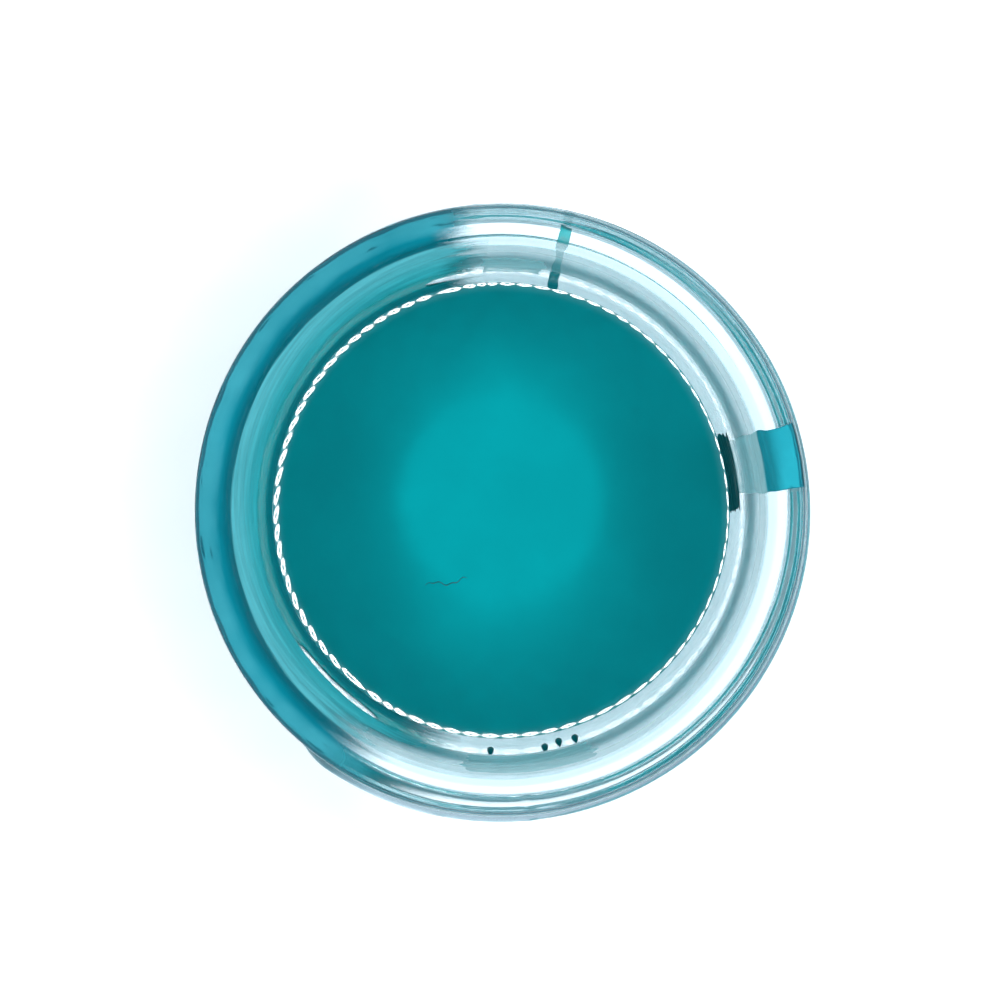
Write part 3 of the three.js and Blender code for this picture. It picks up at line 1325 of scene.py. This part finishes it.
@dataclass
class Studio:
    """The table, the lamps round the lens, the soft room light and the camera."""

    rim: float
    rim_diameter: float
    lens_height: float = 104.0 * MM
    sensor_width: float = 36.0
    shift: Span = (-0.001, 0.0105)
    table_half: float = 2.0
    table_rows: int = 9
    ring_radius: float = 79.0 * MM
    ring_shift: float = -5.7 * MM
    lamp_count: int = 78
    lamp_depth: float = 17.0 * MM
    lamp_swing: float = 0.5
    lamp_hollow: float = 0.35
    lamp_point: float = 0.6
    lamp_corners: int = 24
    lamp_fill: float = 0.9
    lamp_strength: float = 20.0
    lamp_reach: float = 150.0 * MM
    spot_count: int = 26
    spot_power: float = 0.049
    spot_size: float = 4.0 * MM
    side_gain: float = 0.65
    room_strength: float = 0.95
    room_fill: float = 0.2
    room_white: Colour = (0.94, 0.975, 1.0)
    room_edge: Colour = (0.45, 0.62, 0.72)
    room_dim: Colour = (0.22, 0.33, 0.42)
    room_dark: Colour = (0.02, 0.025, 0.03)
    room_mirror: Colour = (0.42, 0.6, 0.72)
    room_fade: Span = (-0.9, 0.1)
    dark_start: float = 0.8
    dark_end: float = 0.94
    rim_share: float = 0.617
    glass_bounces: int = 20

    def build_table(self) -> bpy.types.Object:
        """Builds the table top as a flat grid, whose edges are far out of view.

        Returns:
            The table, as a stage object.
        """
        across = np.linspace(-self.table_half, self.table_half, self.table_rows)
        x, y = np.meshgrid(across, across)
        points = np.stack((x, y, np.zeros_like(x)), axis=-1)
        ids = np.arange(x.size).reshape(x.shape)
        quads = np.stack((ids[:-1, :-1], ids[:-1, 1:], ids[1:, 1:], ids[1:, :-1]), axis=-1).reshape(-1, 4)
        table = new_object("table_top", points.reshape(-1, 3), quads)
        table.data.materials.append(TableFinish().material())
        return table

    def build_lamp_ring(self) -> bpy.types.Object:
        """Builds the ring of small lamps that the paint's edge mirrors.

        Each lamp is a hollow almond: round its outline, u from 0 to 360 degrees, it is sin(u) along the
        ring and cos(u) * |cos(u)|^point across it, and a smaller almond is left out of its middle. The
        lamps only show in mirrored light, and only as far off as the paint is, so the lip doesn't
        mirror them.

        Returns:
            The ring, as a stage object.
        """
        middle = 2.0 * np.pi * np.arange(self.lamp_count)[:, None, None] / self.lamp_count
        half = np.pi / self.lamp_count
        turn = full_turn(self.lamp_corners)[..., None]
        size = np.array([1.0, self.lamp_hollow])[None, None, :]
        along_ring = half * self.lamp_fill * np.sin(turn) * size
        depth = self.lamp_depth * (1.0 + self.lamp_swing * np.cos(middle))
        pointed = np.abs(np.cos(turn)) ** self.lamp_point
        radius = self.ring_radius + depth * np.cos(turn) * pointed * size
        points = polar(radius, middle + along_ring, self.rim + self.lens_height + 0.0 * radius)
        points[..., 1] += self.ring_shift
        ids = np.arange(points[..., 0].size).reshape(points.shape[:3])
        right = np.roll(ids, -1, axis=1)
        quads = np.stack((ids[..., 0], ids[..., 1], right[..., 1], right[..., 0]), axis=-1).reshape(-1, 4)
        ring = new_object("lamp_ring", points.reshape(-1, 3), quads)
        material = bpy.data.materials.new("lamp_glow")
        material.use_nodes = True
        nodes = Nodes(material.node_tree)
        nodes.tree.nodes.clear()
        path = nodes.add("ShaderNodeLightPath")
        direct = nodes.math("LESS_THAN", path.outputs["Diffuse Depth"], 0.5)
        from_paint = nodes.math("GREATER_THAN", path.outputs["Ray Length"], self.lamp_reach)
        shown = nodes.math("MULTIPLY", direct, from_paint)
        glow = nodes.add("ShaderNodeEmission", Strength=nodes.math("MULTIPLY", shown, self.lamp_strength))
        material.cycles.emission_sampling = "NONE"
        nodes.add("ShaderNodeOutputMaterial", Surface=glow.outputs[0])
        ring.data.materials.append(material)
        ring.visible_diffuse = False
        ring.visible_transmission = False
        ring.visible_camera = False
        ring.visible_shadow = False
        return ring

    def build_spots(self) -> None:
        """Builds the soft lamps that light the jar from the same ring, and hides them from mirrors."""
        for i in range(self.spot_count):
            turn = 2.0 * math.pi * (i + 0.5) / self.spot_count
            light = bpy.data.lights.new(f"ring_spot_{i + 1}", "POINT")
            light.energy = self.spot_power * (1.0 + self.side_gain * math.cos(2.0 * turn))
            light.shadow_soft_size = self.spot_size
            lamp = bpy.data.objects.new(light.name, light)
            lamp.location = (
                self.ring_radius * math.cos(turn),
                self.ring_radius * math.sin(turn) + self.ring_shift,
                self.rim + self.lens_height,
            )
            lamp.visible_glossy = False
            lamp.visible_transmission = False
            bpy.context.scene.collection.objects.link(lamp)

    def build_room(self) -> None:
        """Builds the room light: white on the right and dimmer on the left.

        Mirrored light shows the room fainter, and dark straight above, where the lens looks down. Light
        that has bounced off paint or table gets only the fill, because the ring lamps are far stronger.
        """
        world = bpy.data.worlds.new("soft_room")
        world.use_nodes = True
        nodes = Nodes(world.node_tree)
        way = nodes.add("ShaderNodeSeparateXYZ", Vector=nodes.add("ShaderNodeTexCoord").outputs["Generated"])
        path = nodes.add("ShaderNodeLightPath")
        rightward = nodes.ramp(way.outputs["X"], *self.room_fade)
        through = nodes.mix(rightward, rgba(self.room_dim), rgba(self.room_edge))
        colour = nodes.mix(path.outputs["Is Camera Ray"], through, rgba(self.room_white))
        above = nodes.ramp(way.outputs["Z"], self.dark_start, self.dark_end)
        mirrored = nodes.mix(above, rgba(self.room_mirror), rgba(self.room_dark))
        outside = nodes.math("LESS_THAN", path.outputs["Transmission Depth"], 0.5)
        mirror = nodes.math("MULTIPLY", path.outputs["Is Glossy Ray"], outside)
        shown = nodes.mix(mirror, colour, mirrored)
        bounced = nodes.math("GREATER_THAN", path.outputs["Diffuse Depth"], 0.5)
        added = self.room_fill - self.room_strength
        strength = nodes.math("MULTIPLY_ADD", bounced, added, self.room_strength)
        nodes.fill(nodes.tree.nodes["Background"], Color=shown, Strength=strength)
        bpy.context.scene.world = world
        world.cycles_visibility.diffuse = False

    def build_camera(self) -> bpy.types.Object:
        """Places the camera straight above the mouth and fits the rim to its share of the frame.

        Returns:
            The camera.
        """
        data = bpy.data.cameras.new("overhead")
        half_frame = 0.5 * self.rim_diameter / self.rim_share
        data.sensor_width = self.sensor_width
        data.lens = 0.5 * self.sensor_width * self.lens_height / half_frame
        data.shift_x, data.shift_y = self.shift
        camera = bpy.data.objects.new("overhead", data)
        camera.location = (0.0, 0.0, self.rim + self.lens_height)
        data.clip_start = 1.0 * MM
        bpy.context.scene.collection.objects.link(camera)
        bpy.context.scene.camera = camera
        return camera

    def build(self) -> None:
        """Builds the whole studio."""
        self.build_camera()
        self.build_table()
        self.build_lamp_ring()
        self.build_spots()
        self.build_room()
        scene = bpy.context.scene
        scene.view_settings.view_transform = "Standard"
        scene.cycles.max_bounces = self.glass_bounces
        scene.cycles.glossy_bounces = self.glass_bounces
        scene.cycles.transmission_bounces = self.glass_bounces


# --------------------------------------------------------------------------------------------
# Assembly
# --------------------------------------------------------------------------------------------


def wall_patches(jar: GlassJar, level: float) -> list[WallPatch]:
    """Lists the dried patches, each where its CAD node lies.

    Args:
        jar: The glass that they line.
        level: Height of the paint.

    Returns:
        The patches, ready to build.
    """
    shoulder, lip, top = jar.inner_shoulder_top, jar.lip_round_start, jar.height
    # In the film, pale, light and deep are painted light: a painted sheen and painted shade near the neck.
    wet, teal, bright, pale = (0.0, 0.29, 0.34), (0.0, 0.52, 0.56), (0.02, 0.36, 0.46), (0.20, 0.80, 0.90)
    deep, edge, green = (0.0, 0.19, 0.26), (0.04, 0.30, 0.38), (0.0, 0.07, 0.08)
    light, washed = (0.07, 0.66, 0.74), (0.55, 0.95, 1.0)
    film = DryPaintFinish(
        "dry_film",
        (
            (level, wet, 1.0),
            (level + 4.0 * MM, wet, 1.0),
            (level + 7.0 * MM, teal, 1.0),
            (shoulder - 1.5 * MM, teal, 1.0),
            # painted sheen: lighter and bluer from the shoulder up to 3.4 mm under the top, standing in for
            # glossy light mirrored off the film
            (shoulder + 1.0 * MM, light, 1.0),
            (top - 5.0 * MM, pale, 1.0),
            (top - 3.4 * MM, pale, 1.0),
            # painted shade: dark from 2.7 mm under the top over the lip's outer round, standing in for dim
            # light seen through the neck and lip glass
            (top - 2.7 * MM, deep, 1.0),
            (top - 0.5 * MM, deep, 1.0),
            (top, edge, 1.0),
        ),
        facing=-1.0,
        scrapes=(
            Scrape(226.0, level + 9.8 * MM, 14.0, 3.2 * MM),
            Scrape(100.0, level + 6.5 * MM, 9.0, 1.4 * MM),
        ),
        feather=(94.0, 104.0, 240.0, 262.0),
        lean_low=shoulder + 2.0 * MM,
        lean_high=shoulder + 5.0 * MM,
    )
    against_glass = ((level, wet, 1.0), (shoulder, teal, 1.0), (top, teal, 1.0))
    behind = replace(film, name="film_on_glass", zones=against_glass, seed=6.4, streaks=0.75)
    swipe = DryPaintFinish(
        "dry_swipe",
        (
            (level, washed, 0.4),
            (shoulder, washed, 0.45),
            (lip - 3.5 * MM, washed, 0.6),
            (lip - 2.4 * MM, bright, 1.0),
            (top, bright, 1.0),
        ),
        seed=1.4,
    )
    run = DryPaintFinish(
        "dry_run",
        (
            (level, wet, 1.0),
            (level + 6.0 * MM, wet, 1.0),
            (shoulder - 2.0 * MM, teal, 0.6),
            (lip - 6.0 * MM, teal, 0.3),
            (lip - 3.0 * MM, teal, 0.3),
            (top, teal, 0.9),
        ),
        seed=2.9,
    )
    dark = DryPaintFinish("dry_foot", ((level, green, 1.0), (top, green, 1.0)), seed=5.1)
    thin = DryPaintFinish("thin_stain", ((level, washed, 0.55), (top, washed, 0.55)), seed=2.2)
    return [
        WallPatch(
            jar, "painted_wall", "wall_film", 93.0, 260.0, 0.0, 0.998, film,
            backing=behind, columns=300, foot_wander=0.006, top_wander=0.004, ragged=0.6, over_lip=True,
        ),
        WallPatch(
            jar, "lip_swipe", "side_swipe", 4.0, 17.0, 0.16, 0.99, swipe,
            ragged=0.5, seed=1.1, top_wander=0.006, over_lip=True,
        ),
        WallPatch(jar, "swipe_foot", "low_swipe", 0.0, 19.0, 0.0, 0.2, dark, ragged=0.8, seed=2.3),
        WallPatch(
            jar, "paint_run", "long_run", 76.0, 78.2, 0.0, 0.97, run,
            ragged=0.45, seed=3.1, columns=40, over_lip=True,
        ),
        WallPatch(jar, "run_stain", "back_stain", 80.5, 94.0, 0.2, 0.62, thin, ragged=1.2, seed=4.2),
        WallPatch(jar, "neck_stain", "front_stain", 262.0, 291.0, 0.52, 0.76, thin, ragged=1.5, seed=5.3),
    ]


def main() -> None:
    """Builds the studio and every piece of the jar, and reports each one."""
    logging.basicConfig(level=logging.INFO, format="%(name)s: %(message)s")
    jar_low, jar_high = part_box("glass_jar")
    paint_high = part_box("paint_fill")[1]
    body_radius = paint_high.x + PAINT_GAP + GlassJar.wall
    jar = GlassJar(height=jar_high.z, body_radius=body_radius)
    level = paint_high.z - EDGE_CLIMB
    Studio(rim=jar_high.z, rim_diameter=2.0 * jar.neck_radius).build()
    drop_zones = ((level, (0.0, 0.09, 0.1), 1.0), (jar.height, (0.0, 0.2, 0.24), 1.0))
    drop = DryPaintFinish("dried_drop", drop_zones, seed=3.3)
    builders = [
        jar,
        PaintFill(jar, level),
        *wall_patches(jar, level),
        *(WallDrop(jar, f"front_drop_{i + 1}", drop) for i in range(DROPS)),
        LooseBristle(level),
    ]
    for builder in builders:
        piece = builder.build()
        LOG.info("%s: %d faces", piece.name, len(piece.data.polygons))


if __name__ == "__main__":
    main()
